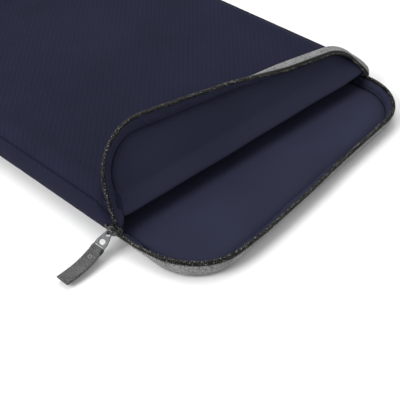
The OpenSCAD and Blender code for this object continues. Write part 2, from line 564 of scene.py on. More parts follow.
def ripple(x: np.ndarray, y: np.ndarray, seed: float) -> np.ndarray:
    """Soft unevenness: a mean of seven slanted sines of unlike lengths.

    Args:
        x, y: the points.
        seed: a number that sets the sines' directions.

    Returns:
        A number between -1 and 1 for each point.
    """
    total = np.zeros(np.broadcast(x, y).shape)
    for k in range(7):
        turn = seed + 2.4 * k
        length = (26 + 17 * k) * MM
        wave = (x * math.cos(turn) + y * math.sin(turn)) * 2 * math.pi / length
        total = total + np.sin(wave + 1.7 * k + seed) / 7
    return total


class Surface:
    """A grid of points with flat coordinates, or a stack of such grids, which becomes a mesh."""

    def __init__(
        self, points: np.ndarray, flat: np.ndarray, closed: bool = False, caps: bool = True
    ) -> None:
        """Keeps the grid.

        Args:
            points: rows by columns by 3, with any number of copies before them.
            flat: as points by 2, the piece's coordinates on the cut cloth, in metres.
            closed: the columns run round a closed profile.
            caps: a closed profile's two ends get a flat face; without caps the ends are points.
        """
        self.points = points
        self.flat = flat
        self.closed = closed
        self.caps = caps and closed

    def faces(self) -> tuple[np.ndarray, np.ndarray]:
        """Lists the faces: one quad a cell, and a flat face at each end of a capped profile.

        Returns:
            The corners of every face in turn, and how many corners each face has.
        """
        rows, columns = self.points.shape[-3:-1]
        index = np.arange(self.points.size // 3).reshape(-1, rows, columns)
        if self.closed:
            index = np.concatenate([index, index[:, :, :1]], axis=2)
        corners = [index[:, :-1, :-1], index[:, 1:, :-1], index[:, 1:, 1:], index[:, :-1, 1:]]
        quads = np.stack(corners, axis=-1).reshape(-1, 4)
        counts = np.full(len(quads), 4)
        if not self.caps:
            return quads.ravel(), counts
        ends = np.concatenate([index[:, 0, :-1], index[:, -1, -2::-1]])
        return np.concatenate([quads.ravel(), ends.ravel()]), np.append(counts, np.full(len(ends), columns))

    def mesh(self, name: str, flip: bool = False, weld: bool = False) -> bpy.types.Object:
        """Puts the grid into a mesh, each cell one quad.

        Args:
            name: the piece's name.
            flip: turns the faces over.
            weld: merges points that lie together, as at a pole.

        Returns:
            The piece, with smooth faces and a UV map named flat.
        """
        loops, counts = self.faces()
        starts = np.append(0, np.cumsum(counts)[:-1])
        made = bpy.data.meshes.new(name)
        made.vertices.add(self.points.size // 3)
        made.vertices.foreach_set("co", self.points.astype(np.float32).ravel())
        made.loops.add(len(loops))
        made.loops.foreach_set("vertex_index", loops.astype(np.int32))
        made.polygons.add(len(counts))
        made.polygons.foreach_set("loop_start", starts.astype(np.int32))
        made.polygons.foreach_set("use_smooth", np.ones(len(counts), dtype=bool))
        layer = made.uv_layers.new(name="flat")
        layer.data.foreach_set("uv", self.flat.reshape(-1, 2)[loops].astype(np.float32).ravel())
        made.update(calc_edges=True)
        if flip:
            made.flip_normals()
        if weld:
            welded(made)
        made.validate()
        piece = bpy.data.objects.new(name, made)
        bpy.context.scene.collection.objects.link(piece)
        return piece


def welded(mesh: bpy.types.Mesh, outwards: bool = False) -> None:
    """Merges a mesh's points that lie together.

    Args:
        mesh: the mesh.
        outwards: whether its faces are then turned outwards.
    """
    edit = bmesh.new()
    edit.from_mesh(mesh)
    bmesh.ops.remove_doubles(edit, verts=edit.verts, dist=0.002 * MM)
    if outwards:
        bmesh.ops.recalc_face_normals(edit, faces=edit.faces)
    edit.to_mesh(mesh)
    edit.free()


def thicken(piece: bpy.types.Object, thickness: float, offset: float = -1.0) -> None:
    """Gives a sheet its thickness.

    Args:
        piece: the sheet.
        thickness: its thickness.
        offset: -1 for behind its faces, 0 for both sides of them.
    """
    shell = piece.modifiers.new("thickness", "SOLIDIFY")
    shell.thickness = thickness
    shell.offset = offset
    shell.use_rim = True


@dataclass(frozen=True)
class Settling:
    """A short cloth simulation in which a held grid of cloth fills out and puckers.

    The grid has a little more cloth than its span, it is pushed out along its faces, and no point may end
    further than limit from where it began.
    """

    pressure: float
    spare: float
    limit: float
    frames: int = 20
    weight: float = 0.002

    def held(self, surface: Surface) -> np.ndarray:
        """Numbers of the grid's points that stay put: two rows or columns along each edge."""
        rows, columns = surface.points.shape[:2]
        row, column = np.arange(rows)[:, None], np.arange(columns)[None, :]
        edge = (row < 2) | (row >= rows - 2) | (column < 2) | (column >= columns - 2)
        return np.flatnonzero(edge)

    def run(self, surface: Surface, flip: bool = False) -> None:
        """Settles a grid and keeps the result in its points.

        Args:
            flip: pushes the cloth the other way.
        """
        piece = surface.mesh("settling", flip)
        group = piece.vertex_groups.new(name="held")
        group.add(self.held(surface).tolist(), 1.0, "REPLACE")
        cloth = piece.modifiers.new("cloth", "CLOTH")
        cloth.point_cache.frame_start, cloth.point_cache.frame_end = 1, self.frames
        cloth.settings.vertex_group_mass = "held"
        cloth.settings.quality = 6
        cloth.settings.mass = self.weight
        cloth.settings.shrink_min = -self.spare
        cloth.settings.bending_stiffness = 0.05
        cloth.settings.effector_weights.gravity = 0
        cloth.settings.use_pressure = True
        cloth.settings.uniform_pressure_force = self.pressure
        cloth.collision_settings.use_collision = False
        for frame in range(1, self.frames + 1):
            bpy.context.scene.frame_set(frame)
        result = piece.evaluated_get(bpy.context.evaluated_depsgraph_get())
        moved = np.empty(surface.points.size, dtype=np.float32)
        result.data.vertices.foreach_get("co", moved)
        shift = moved.reshape(surface.points.shape) - surface.points
        length = np.maximum(np.linalg.norm(shift, axis=-1, keepdims=True), 1e-9)
        LOG.info("settled: up to %.1f mm, %.2f mm on average", length.max() / MM, length.mean() / MM)
        surface.points = surface.points + shift * np.tanh(length / self.limit) * self.limit / length
        bpy.data.objects.remove(piece)
        bpy.context.scene.frame_set(1)


# ---------------------------------------------------------------- the sleeve's form


@dataclass(frozen=True)
class Outline:
    """The rounded rectangle that every layer follows."""

    half_w: float
    half_l: float
    radius: float

    @property
    def front(self) -> float:
        """Half the straight run across the mouth."""
        return self.half_w - self.radius

    @property
    def quarter(self) -> float:
        """Length of one corner's arc."""
        return self.radius * math.pi / 2

    def side_at(self, y: float) -> float:
        """Distance along the outline, from the middle of the mouth to the side's point at y."""
        return self.front + self.quarter + (y + self.half_l - self.radius)

    @property
    def whole(self) -> float:
        """Distance along the outline from the middle of the mouth to the middle of the closed end."""
        return self.side_at(self.half_l - self.radius) + self.quarter + self.front

    def at(self, s: np.ndarray, inset: np.ndarray) -> tuple[np.ndarray, np.ndarray]:
        """Points at a distance s along the outline, drawn in by inset.

        The outline starts at the middle of the mouth and runs towards +X, and negative distances run the
        other way: a straight, a quarter circle, a straight, a quarter circle, a straight.

        Args:
            s: distances along the outline.
            inset: distances inwards.

        Returns:
            x and y.
        """
        sign, d = np.sign(s), np.abs(s)
        side = 2 * (self.half_l - self.radius)
        first = np.clip((d - self.front) / self.radius, 0, math.pi / 2)
        second = np.clip((d - self.front - self.quarter - side) / self.radius, 0, math.pi / 2)
        turn = first + second
        along = np.clip(d - self.front - self.quarter, 0, side)
        last = np.clip(d - self.front - 2 * self.quarter - side, 0, None)
        across = np.minimum(d, self.front) - last
        reach = self.radius - inset
        x = across + reach * np.sin(turn)
        y = -(self.half_l - self.radius) + along - reach * np.cos(turn)
        return sign * x, y

    def along(self, x: np.ndarray, y: np.ndarray) -> np.ndarray:
        """Distance along the outline of points near its front half.

        Args:
            x, y: the points.

        Returns:
            The distance from the middle of the mouth, without the sign of x.
        """
        over_x = np.abs(x) - self.front
        over_y = -y - (self.half_l - self.radius)
        turn = np.arctan2(np.maximum(over_x, 0), np.maximum(over_y, 1e-9))
        corner = self.front + self.radius * turn
        side = self.front + self.quarter - over_y
        return np.where(over_x < 0, np.abs(x), np.where(over_y > 0, corner, side))

    def depth(self, x: np.ndarray, y: np.ndarray) -> np.ndarray:
        """How far inside the outline points are: the distance to a rounded rectangle.

        Args:
            x, y: the points.

        Returns:
            The distance, which is negative outside.
        """
        qx = np.abs(x) - (self.half_w - self.radius)
        qy = np.abs(y) - (self.half_l - self.radius)
        outside = np.hypot(np.maximum(qx, 0), np.maximum(qy, 0))
        return self.radius - outside - np.minimum(np.maximum(qx, qy), 0)

    def half_width(self, y: np.ndarray, inset: float) -> np.ndarray:
        """Half the width of the outline at y.

        Args:
            y: where it is measured.
            inset: how far the outline is drawn in.

        Returns:
            The half width.
        """
        r = self.radius - inset
        over = np.clip(np.abs(y) - (self.half_l - self.radius), 0, r)
        return self.half_w - self.radius + np.sqrt(np.maximum(r * r - over * over, 0))


@dataclass(frozen=True)
class Fold:
    """The line that the flap turns about, and how open it rests."""

    at: np.ndarray
    axis: np.ndarray
    opening: float
    band: float

    @classmethod
    def of(cls, joint: dict, band: float) -> "Fold":
        """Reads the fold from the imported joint, whose lower limit is the shut flap."""
        axis = np.array(joint["axis"], float)
        return cls(np.array(joint["pos_m"], float), axis, -math.radians(joint["range_deg"][0]), band)

    @property
    def back(self) -> np.ndarray:
        """The level direction that points away from the mouth, square to the fold."""
        return np.array([self.axis[1], -self.axis[0], 0.0])

    @property
    def lean(self) -> float:
        """Angle above level of the fold's middle plane, where the doubled cloth lies."""
        return math.pi / 2 - self.opening / 2

    @property
    def across(self) -> np.ndarray:
        """The direction square to the fold's middle plane, from the sleeve's side to the flap's."""
        return -math.sin(self.lean) * self.back + math.cos(self.lean) * np.array([0.0, 0.0, 1.0])

    def ends(self) -> tuple[tuple, tuple]:
        return tuple(self.at - self.across * self.band), tuple(self.at + self.across * self.band)

    def rest(self, shut: np.ndarray) -> np.ndarray:
        """Moves points from the shut sleeve to the resting one.

        Seen along the fold, a point at radius r and angle a goes to angle a - w * opening, where w is the
        smooth step of its resting distance from the middle plane, r * sin(angle - lean), over the band.
        The turn w is found by halving, because the step falls as w grows.

        Args:
            shut: points on the shut sleeve, any shape with a last axis of 3.

        Returns:
            The same points at rest.
        """
        offset = shut - self.at
        up = np.array([0.0, 0.0, 1.0])
        v, h = offset @ self.back, offset @ up
        r, angle = np.hypot(v, h), np.arctan2(h, v)
        angle = np.where((angle < 0) & (v < 0), angle + 2 * math.pi, angle)
        low, high = np.zeros_like(r), np.ones_like(r)
        for _ in range(40):
            w = (low + high) / 2
            aim = smooth(r * np.sin(angle - w * self.opening - self.lean) / (2 * self.band) + 0.5)
            high = np.where(aim < w, w, high)
            low = np.where(aim < w, low, w)
        turned = angle - (low + high) / 2 * self.opening
        moved = np.multiply.outer(r * np.cos(turned) - v, self.back)
        return shut + moved + np.multiply.outer(r * np.sin(turned) - h, up)

    def dress(self, piece: bpy.types.Object) -> None:
        """Bakes a piece's placement into its points; the ends of the fold's band are worked out but not
        used.
        """
        start, end = self.ends()
        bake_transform(piece)


@dataclass(frozen=True)
class Roll:
    """How one stretch of a lip rolls inwards, as soft cloth does when nothing pulls it straight.

    The stretch is given by four distances along the outline: the roll grows from the first to the second,
    and fades from the third to the fourth. Negative lengths make the lip flare outwards.
    """

    stretch: tuple[float, float, float, float]
    out: float
    inwards: float
    lift: float
    near: float = 12 * MM
    reach: float = 40 * MM

    def apply(self, shut: np.ndarray, outline: Outline, below: np.ndarray, up: float) -> np.ndarray:
        """Moves points of one half, shut, near the mouth.

        The seam moves out and the coil in and up, in proportion to how far a point lies from the seam to
        the coil. The amount dies away inwards from near to reach.

        Args:
            shut: the points.
            outline: the sleeve's outline.
            below: 0 at the seam to 1 at the coil, for each point.
            up: 1 where the coil's lift is upwards, -1 where it is downwards.

        Returns:
            The moved points.
        """
        x, y = shut[..., 0], shut[..., 1]
        a, b, c, d = self.stretch
        s = outline.along(x, y) * np.sign(x)
        part = smooth((s - a) / (b - a)) * (1 - smooth((s - c) / (d - c)))
        part = part * (1 - smooth((outline.depth(x, y) - self.near) / (self.reach - self.near)))
        push = part * (self.out * (1 - below) - self.inwards * below)
        over_x = np.sign(x) * np.maximum(np.abs(x) - outline.front, 0)
        over_y = np.maximum(-y - (outline.half_l - outline.radius), 0)
        length = np.maximum(np.hypot(over_x, over_y), 1e-6)
        moved = [push * over_x / length, -push * over_y / length, part * self.lift * below * up]
        return shut + np.stack(moved, axis=-1)


UPPER_ROLLS = (
    Roll((-25 * MM, 60 * MM, 165 * MM, 205 * MM), 3.5 * MM, 7.5 * MM, 3.5 * MM),
    Roll((-215 * MM, -185 * MM, -90 * MM, -20 * MM), -2.5 * MM, -1.2 * MM, 0.0),
)
LOWER_ROLLS = (
    Roll((-200 * MM, -150 * MM, -145 * MM, -68 * MM), 1.0 * MM, 5.5 * MM, -1.2 * MM),
    Roll((-20 * MM, 40 * MM, 165 * MM, 215 * MM), 1.0 * MM, 2.0 * MM, 0.0),
)


def joints_of(frame: dict) -> dict[str, dict]:
    """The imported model's joints, by name."""
    return {joint["name"]: joint for joint in frame["record"]["behaviour"]["joints"]}


@dataclass(frozen=True)
class Form:
    """The sleeve's sizes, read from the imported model, and its seams."""

    outline: Outline
    height: float
    fold: Fold
    fold_y: float
    seam_in: float = 5.0 * MM
    seam_drop: float = 4.0 * MM
    roll: float = 18.0 * MM
    wall: float = 5.8 * MM
    skin: float = 1.0 * MM
    lining: float = 0.7 * MM
    hem_in: float = 8.5 * MM
    hem_rise: float = 1.9 * MM
    coil_foot: float = 1.5 * MM
    bending: float = 36.0 * MM

    @classmethod
    def of(cls, frame: dict) -> "Form":
        """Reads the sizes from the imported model.


        Returns:
            The form.
        """
        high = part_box("lower_outer_panel")[1]
        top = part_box("upper_outer_panel")[1][2]
        fold = Fold.of(joints_of(frame)["mouth_fold"], FOLD_BAND)
        return cls(Outline(high[0], high[1], CORNER), top, fold, float(fold.at[1]))

    @property
    def mid(self) -> float:
        """Height of the zip."""
        return self.height / 2

    @property
    def zip_s(self) -> float:
        """Distance along the outline from the middle of the mouth to where the zip ends."""
        return self.outline.side_at(self.fold_y + 3.0 * MM)

    def level(self, half: Half, z: np.ndarray) -> np.ndarray:
        """A height over the resting face, turned over for the lower half."""
        return z if half is Half.UPPER else self.height - z

    @property
    def seam_z(self) -> float:
        """Height of the seam between the upper panel and the tape."""
        return self.height - self.seam_drop

    @property
    def ceiling(self) -> float:
        """Height of the upper lining's seam."""
        return self.height - self.wall + self.hem_rise

    def rolled(self, half: Half, shut: np.ndarray) -> np.ndarray:
        """Lets a half's lip roll in or out along the mouth.

        Args:
            half: which half the points belong to.
            shut: the points, with the lip straight.

        Returns:
            The points, with the lip rolled.
        """
        z = self.level(half, shut[..., 2])
        coil_z = self.mid + self.coil_foot
        below = np.clip((self.seam_z - z) / (self.seam_z - coil_z), 0, 1)
        for roll in UPPER_ROLLS if half is Half.UPPER else LOWER_ROLLS:
            shut = roll.apply(shut, self.outline, below, half.value)
        return shut

    def rest(self, half: Half, shut: np.ndarray) -> np.ndarray:
        """Moves a half's points from the shut sleeve to the resting one."""
        rolled = self.rolled(half, shut)
        return self.fold.rest(rolled) if half is Half.UPPER else rolled

    def behind(self, step: float, fine: float | None = None) -> tuple[np.ndarray, np.ndarray]:
        """Distances along the outline from the zip's right end, round the closed end, to its left end.

        Args:
            step: their spacing.
            fine: the spacing near both ends of the zip, where the cloth bends over the fold.

        Returns:
            The distances, which keep growing, and the same ones counted either way from the mouth's middle.
        """
        whole = self.outline.whole
        right = spaced(self.zip_s, whole, step)
        if fine is not None:
            near = spaced(self.zip_s, self.zip_s + self.bending, fine)[:-1]
            right = np.concatenate([near, right[right > near[-1] + fine / 2]])
        run = np.concatenate([right, 2 * whole - right[::-1][1:]])
        return run, np.where(run > whole, run - 2 * whole, run)


class Cloth:
    """Base of the sub-assemblies: places, dresses and reports their pieces."""

    def __init__(self, form: Form, finishes: Finishes) -> None:
        """Keeps the form and the finishes."""
        self.form = form
        self.finishes = finishes

    def finish(
        self,
        piece: bpy.types.Object,
        material: bpy.types.Material,
        nodes: tuple[str, ...],
        body: Body | None = None,
        fill: float | None = None,
        slot: str | None = None,
    ) -> bpy.types.Object:
        """Dresses a piece, gives it to a body or bakes its place where it lies over the fold, hides the CAD
        nodes that it stands for, and logs its points.

        Args:
            piece: the piece.
            material: its finish.
            nodes: the CAD nodes that it stands for.
            body: the body that it rides on, or nothing for a piece that bends over the fold.
            fill: how full a padded piece is; not used.
            slot: a material slot name; not used.

        Returns:
            The piece.
        """
        piece.data.materials.append(material)
        if body is None:
            self.form.fold.dress(piece)
        else:
            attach(piece, body.value)
        if nodes:
            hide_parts(*nodes)
        LOG.info("%s: %d points", piece.name, len(piece.data.vertices))
        return piece

    def lay(
        self,
        half: Half,
        surface: Surface,
        name: str,
        material: bpy.types.Material,
        nodes: tuple[str, ...] = (),
        flip: bool = False,
        weld: bool = False,
        thick: float | None = None,
        fill: float | None = None,
        slot: str | None = None,
    ) -> bpy.types.Object:
        """Moves a layer that was worked out shut to where it rests, and finishes it.

        The lower half's layers ride on the sleeve, and the upper half's bend over the fold.

        Args:
            half: the layer's half. The side walls go with the upper one.
            surface: the layer, shut.
            name: the piece's name.
            material: its finish.
            nodes: the CAD nodes that it stands for.
            flip: turns its faces over.
            weld: merges its points that lie together.
            thick: the cloth's thickness, if it is a sheet.
            fill: how full a padded piece is; passed on to finish, which does not use it.
            slot: a material slot name; passed on to finish, which does not use it.

        Returns:
            The piece.
        """
        surface.points = self.form.rest(half, surface.points)
        piece = surface.mesh(name, flip, weld)
        if thick is not None:
            thicken(piece, thick)
        body = None if half is Half.UPPER else Body.ROOT
        return self.finish(piece, material, nodes, body, fill, slot)

    def sweep(self, s: np.ndarray, inset: np.ndarray, z: np.ndarray, closed: bool = False) -> Surface:
        """Carries a profile of (inset, z) along the outline.

        Args:
            s: distances along the outline, one row each.
            inset: the profile's insets, one column each, or rows by columns.
            z: the profile's heights, as inset.
            closed: whether the profile is a closed ring.

        Returns:
            The surface, whose flat coordinates are the distances along the outline and the profile.
        """
        inset, z = np.broadcast_arrays(inset, z)
        if inset.ndim == 1:
            inset, z = np.tile(inset, (len(s), 1)), np.tile(z, (len(s), 1))
        x, y = self.form.outline.at(s[:, None], inset)
        steps = np.hypot(np.diff(inset, axis=1), np.diff(z, axis=1))
        run = np.concatenate([np.zeros((len(s), 1)), np.cumsum(steps, axis=1)], axis=1)
        flat = np.stack([np.broadcast_to(s[:, None], run.shape), run], axis=-1)
        return Surface(np.stack([x, y, z], axis=-1), flat, closed)

    def plate(self, edge_in: float, step: float, fine: float) -> tuple[np.ndarray, np.ndarray]:
        """A grid over the outline drawn in by edge_in.

        Its rows have constant y, and each is as wide as the outline there. They lie a fine step apart by
        the mouth, the fold and the closed end, and wider between.

        Args:
            edge_in: the inset of the grid's edge.
            step: the spacing in the middle.
            fine: the spacing by the mouth and the edges.

        Returns:
            x and y of the grid.
        """
        outline = self.form.outline
        end = outline.half_l - edge_in
        rows = np.concatenate(
            [
                spaced(-end, -end + 2.4 * MM, 0.4 * MM)[:-1],
                spaced(-end + 2.4 * MM, self.form.fold_y + 40 * MM, fine)[:-1],
                spaced(self.form.fold_y + 40 * MM, end - 24 * MM, step)[:-1],
                spaced(end - 24 * MM, end - 2.4 * MM, fine)[:-1],
                spaced(end - 2.4 * MM, end, 0.4 * MM),
            ]
        )
        core = np.linspace(-1, 1, int(2 * outline.half_w / step))
        u = np.sin(core * math.pi / 2) * 0.35 + core * 0.65
        width = outline.half_width(rows, edge_in)
        return width[:, None] * u[None, :], np.broadcast_to(rows[:, None], (len(rows), len(u)))


# ---------------------------------------------------------------- the outer skin


@dataclass
class SkinSizes:
    """Sizes of the outer skin."""

    puff: float = 2.2 * MM
    puff_width: float = 26.0 * MM
    steep: float = 3.6
    rim: float = 1.5 * MM
    band_points: int = 33
    band_step: float = 2.5 * MM
    band_fine: float = 0.9 * MM
    band_uneven: float = 0.4 * MM
    uneven: float = 0.5 * MM
    step: float = 3.4 * MM
    fine: float = 1.3 * MM


class OuterSkin(Cloth):
    """The upper and lower outer panels and the side band round the closed end."""

    def __init__(self, form: Form, finishes: Finishes, sizes: SkinSizes = SkinSizes()) -> None:
        """Keeps the sizes."""
        super().__init__(form, finishes)
        self.sizes = sizes

    def height_at(self, half: Half, x: np.ndarray, y: np.ndarray) -> np.ndarray:
        """Height of a panel's outer face.

        The face is flat, drops into the seam by a power of the distance to it, and swells a little just
        inside the seam, where the foam ends. The lower panel is pressed flat by the surface it lies on.

        Args:
            half: which panel.
            x, y: the points.

        Returns:
            The heights.
        """
        f = self.form
        d = f.outline.depth(x, y) - f.seam_in
        t = np.clip(d / f.roll, 0, 1)
        drop = f.seam_drop * (1 - t) ** self.sizes.steep
        swell = self.sizes.puff * np.sin(np.clip(d / self.sizes.puff_width, 0, 1) * math.pi) ** 2
        soft = (ripple(x, y, 0.6) * smooth(t) - 1) * self.sizes.uneven
        if half is Half.LOWER:
            swell, soft = 0.0, 0.15 * soft
        return f.level(half, f.height - drop + swell + soft)

    def panel(self, half: Half, name: str, nodes: tuple[str, ...]) -> None:
        """Makes one outer panel: one cloth from the closed end to the mouth, over the fold if it is upper.

        Args:
            half: which panel.
            name: the piece's name.
            nodes: the CAD nodes that it stands for.
        """
        x, y = self.plate(self.form.seam_in, self.sizes.step, self.sizes.fine)
        z = self.height_at(half, x, y)
        surface = Surface(np.stack([x, y, z], axis=-1), np.stack([x, y], axis=-1))
        self.lay(half, surface, name, self.finishes.outer, nodes, half is Half.UPPER, thick=self.form.skin)

    def band(self) -> None:
        """Makes the side band: its profile runs seam to seam and swells out between as a root of a sine.

        Below the upper seam it also stands proud, by rim times a root of the sine of twice the way.
        """
        f, k = self.form, self.sizes
        a = np.linspace(0, 1, k.band_points)
        inset = f.seam_in * (1 - np.sin(math.pi * a) ** 0.55)
        proud = np.abs(np.sin(2 * math.pi * a)) ** 0.7
        z = (f.height - f.seam_drop) + (2 * f.seam_drop - f.height) * a
        z = z + k.rim * np.where(a < 0.5, proud, 0)
        run, s = f.behind(k.band_step, k.band_fine)
        surface = self.sweep(s, inset, z)
        surface.flat[..., 0] = run[:, None]
        uneven = ripple(surface.flat[..., 0], surface.flat[..., 1] * 2, 2.1) * k.band_uneven
        x, y = f.outline.at(s[:, None], inset + uneven * np.sin(math.pi * a))
        surface.points[..., 0], surface.points[..., 1] = x, y
        nodes = ("side_band_skin",)
        self.lay(Half.UPPER, surface, "side_band", self.finishes.outer, nodes, True, thick=f.skin)

    def build(self) -> None:
        """Makes the three cloths."""
        self.panel(Half.UPPER, "upper_skin", ("upper_outer_panel", "fold_outer", "flap_outer_panel"))
        self.panel(Half.LOWER, "lower_skin", ("lower_outer_panel",))
        self.band()


# ---------------------------------------------------------------- the zip


@dataclass
class ZipSizes:
    """Sizes of the zip's tape and coil."""

    tape: float = 0.9 * MM
    tape_in: float = 0.2 * MM
    tape_foot: float = 1.6 * MM
    tape_width: float = 8.0 * MM
    tape_step: float = 1.1 * MM
    wave: float = 0.45 * MM
    margin_step: float = 1.5 * MM
    coil_z: float = 1.5 * MM
    coil_through: float = 1.25 * MM
    wire: float = 0.5 * MM
    pitch: float = 1.75 * MM
    gap: float = 0.3 * MM
    coil_in: float = 0.45 * MM
    turn_points: int = 9
    wire_sides: int = 5


class Zip(Cloth):
    """Both halves of the zip round the mouth: tape, coil, and the dark sewn margin between them."""

    def __init__(self, form: Form, finishes: Finishes, sizes: ZipSizes = ZipSizes()) -> None:
        """Keeps the sizes."""
        super().__init__(form, finishes)
        self.sizes = sizes

    def path(self, step: float) -> np.ndarray:
        """Distances along the mouth, from the zip's left end round to its right end."""
        return spaced(-self.form.zip_s, self.form.zip_s, step)

    def tape(self, half: Half, nodes: tuple[str, ...]) -> None:
        """Makes one half of the tape: a quarter sine outwards from the seam (0) to the coil (1).

        Args:
            half: which half.
            nodes: the CAD nodes that it stands for.
        """
        f, k = self.form, self.sizes
        a = np.linspace(0, 1, 15)
        inset = f.seam_in * (1 - np.sin(a * math.pi / 2)) + k.tape_in * a
        z = f.seam_z + (f.mid + k.tape_foot - f.seam_z) * a
        s = self.path(k.tape_step)
        surface = self.sweep(s, inset, f.level(half, z))
        wave = ripple(s[:, None], a[None, :] * k.tape_width, 4.2) * k.wave * np.sin(a * math.pi)
        surface.points[..., 0], surface.points[..., 1] = f.outline.at(s[:, None], inset + wave)
        name = f"{half.name.lower()}_tape"
        self.lay(half, surface, name, self.finishes.tape, nodes, half is Half.LOWER, thick=k.tape)

    def coil(self, half: Half, nodes: tuple[str, ...]) -> None:
        """Makes one row of coil: a round wire wound in a flat helix along the mouth.

        The wire's middle goes round an oval once a pitch: z by its cosine, inset by its sine. The wire's
        own circle is spanned by the oval's outward direction and the path's direction.

        Args:
            half: which row.
            nodes: the CAD nodes that it stands for.
        """
        f, k = self.form, self.sizes
        length = 2 * f.zip_s
        turns = int(length / k.pitch)
        t = np.linspace(0, turns, turns * k.turn_points + 1) * 2 * math.pi
        s = -f.zip_s + length * t / t[-1]
        out = np.stack([np.sin(t), np.cos(t)], axis=-1)
        ring = np.linspace(0, 2 * math.pi, k.wire_sides, endpoint=False)
        swing = k.wire * np.cos(ring)[None, :]
        inset = k.coil_in + (k.coil_through + swing) * out[:, :1]
        z = f.mid + k.gap + k.coil_z + k.wire + (k.coil_z + swing) * out[:, 1:]
        along = s[:, None] + k.wire * np.sin(ring)[None, :]
        x, y = f.outline.at(along, inset)
        points = np.stack([x, y, f.level(half, z)], axis=-1)
        flat = np.stack([np.broadcast_to(s[:, None], inset.shape), inset], axis=-1)
        surface = Surface(points, flat, closed=True)
        name = f"{half.name.lower()}_coil"
        self.lay(half, surface, name, self.finishes.coil, nodes, half is Half.UPPER)

    def margin(self, half: Half) -> None:
        """Makes the sewn margin that holds the coil: a core inside the turns and a strip on the tape.

        Args:
            half: which half.
        """
        f = self.form
        inset = np.array([-0.35, 0.9, 1.3, 1.3, -0.1, -0.35]) * MM
        z = f.mid + np.array([1.0, 1.0, 1.4, 4.3, 4.3, 3.2]) * MM
        surface = self.sweep(self.path(self.sizes.margin_step), inset, f.level(half, z), closed=True)
        name = f"{half.name.lower()}_coil_margin"
        self.lay(half, surface, name, self.finishes.coil, flip=half is Half.LOWER)

    def build(self) -> None:
        """Makes both halves."""
        tapes = {Half.LOWER: ("lower_zip_tape",), Half.UPPER: ("upper_tape_ends", "flap_zip_tape")}
        coils = {Half.LOWER: ("lower_zip_coil",), Half.UPPER: ("upper_coil_ends", "flap_zip_coil")}
        for half in Half:
            self.tape(half, tapes[half])
            self.coil(half, coils[half])
            self.margin(half)


# ---------------------------------------------------------------- the lining


@dataclass
class LiningSizes:
    """Sizes of the lining and the padded lips."""

    lip_in: float = 1.1 * MM
    lip_z: float = 3.6 * MM
    swell: float = 2.4 * MM
    step: float = 4.2 * MM
    fine: float = 1.6 * MM
    uneven: float = 0.5 * MM
    edge_round: float = 6.0 * MM
    slack: float = 12.0 * MM
    lip_step: float = 1.4 * MM
    wall_bow: float = 1.8 * MM
    wall_step: float = 2.5 * MM
    wall_fine: float = 1.2 * MM
    settling: Settling = Settling(pressure=3.0, spare=0.06, limit=1.2 * MM)


class Lining(Cloth):
    """The ceiling, the floor, the side walls and the padded lips round the mouth."""

    def __init__(self, form: Form, finishes: Finishes, sizes: LiningSizes = LiningSizes()) -> None:
        """Keeps the sizes."""
        super().__init__(form, finishes)
        self.sizes = sizes

    def face(self, half: Half) -> Surface:
        """The lining of one panel: flat, with a rounded drop to its seam and a soft unevenness.

        Args:
            half: which panel.

        Returns:
            The surface, shut.
        """
        f, k = self.form, self.sizes
        x, y = self.plate(f.hem_in, k.step, k.fine)
        d = f.outline.depth(x, y) - f.hem_in
        rise = f.hem_rise * (1 - np.clip(d / k.edge_round, 0, 1)) ** 2
        soft = (ripple(x, y, 5.0) - 1) * k.uneven * smooth(d / k.slack)
        z = f.level(half, f.height - f.wall + rise + soft)
        return Surface(np.stack([x, y, z], axis=-1), np.stack([x, y], axis=-1))

    def lip(self, half: Half) -> Surface:
        """The padded lip: from the tape's inner side to the lining's seam, swelling inwards as a sine.

        Args:
            half: which lip.

        Returns:
            The surface, shut, after its cloth has settled.
        """
        f, k = self.form, self.sizes
        a = np.linspace(0, 1, 19)
        foot = f.mid + k.lip_z
        along_in, along_z = f.hem_in - k.lip_in, f.ceiling - foot
        span = math.hypot(along_in, along_z)
        swell = k.swell * np.sin(a * math.pi) ** 0.7
        inset = k.lip_in + along_in * a + swell * along_z / span
        z = foot + along_z * a - swell * along_in / span
        s = spaced(-f.zip_s, f.zip_s, k.lip_step)
        surface = self.sweep(s, inset, f.level(half, z))
        wave = ripple(s[:, None], a[None, :] * k.edge_round, 7.7) * k.uneven * np.sin(a * math.pi)
        surface.points[..., 0], surface.points[..., 1] = f.outline.at(s[:, None], inset + wave)
        k.settling.run(surface, flip=half is Half.UPPER)
        return surface

    def wall(self) -> Surface:
        """The side wall's lining behind the zip, bowed slightly outwards.

        Returns:
            The surface, shut.
        """
        f = self.form
        a = np.linspace(0, 1, 17)
        inset = f.hem_in - self.sizes.wall_bow * np.sin(a * math.pi)
        z = f.ceiling + (f.height - 2 * f.ceiling) * a
        run, s = f.behind(self.sizes.wall_step, self.sizes.wall_fine)
        surface = self.sweep(s, inset, z)
        surface.flat[..., 0] = run[:, None]
        return surface

    def build(self) -> None:
        """Makes the lining's cloths."""
        cloth, thick = self.finishes.lining, self.form.lining
        faces = (
            (Half.UPPER, "ceiling_lining", ("upper_lining", "fold_lining", "flap_lining")),
            (Half.LOWER, "floor_lining", ("lower_lining",)),
        )
        for half, name, nodes in faces:
            self.lay(half, self.face(half), name, cloth, nodes, half is Half.LOWER, thick=thick)
        lips = (
            (Half.UPPER, "upper_lip_lining", ("upper_lip_lining_ends", "flap_lip_lining")),
            (Half.LOWER, "lower_lip_cover", ("lower_lip_lining",)),
        )
        for half, name, nodes in lips:
            self.lay(half, self.lip(half), name, cloth, nodes, half is Half.UPPER, thick=thick)
        self.lay(Half.UPPER, self.wall(), "side_wall_lining", cloth, ("side_band_lining",), thick=thick)


# ---------------------------------------------------------------- the foam


